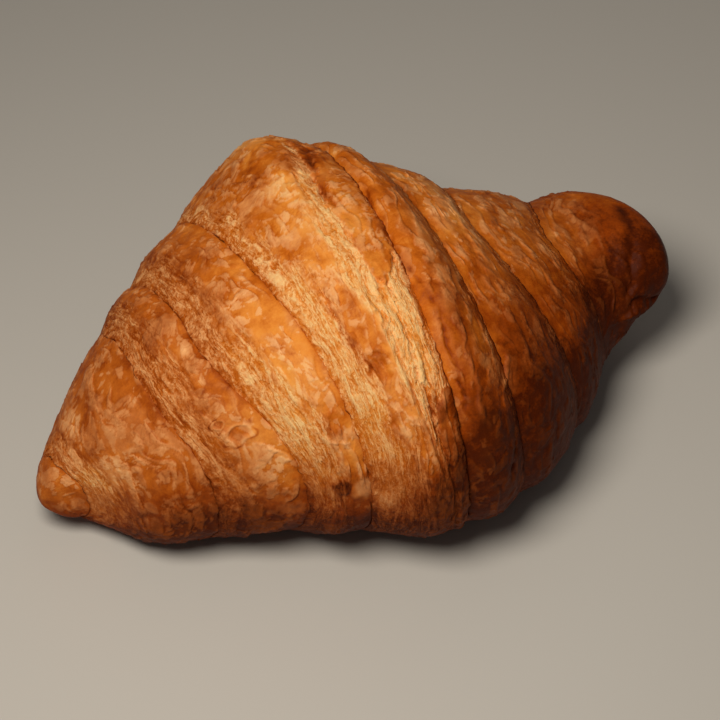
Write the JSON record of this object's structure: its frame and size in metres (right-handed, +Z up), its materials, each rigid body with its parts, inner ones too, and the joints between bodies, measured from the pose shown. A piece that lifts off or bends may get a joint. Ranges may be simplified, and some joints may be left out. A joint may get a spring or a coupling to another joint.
{
  "type": "croissant",
  "caption": "Plain baked croissant rolled from laminated dough, with lapped wraps, flaky cut edges, blunt tips and a flat base.",
  "frame": {"origin": "middle of the flat base, on the surface that the croissant rests on", "axes": "+X along the croissant towards its narrow raised tip, +Y towards its back, +Z up from the flat base"},
  "size_m": [0.146, 0.1012, 0.0623],
  "materials": {
    "crust": "golden brown baked crust with an egg-wash sheen on the skins and dry, flaky cut edges; cardboard stands in for bread"
  },
  "bodies": {
    "root": {"croissant": "crust"}
  },
  "joints": []
}
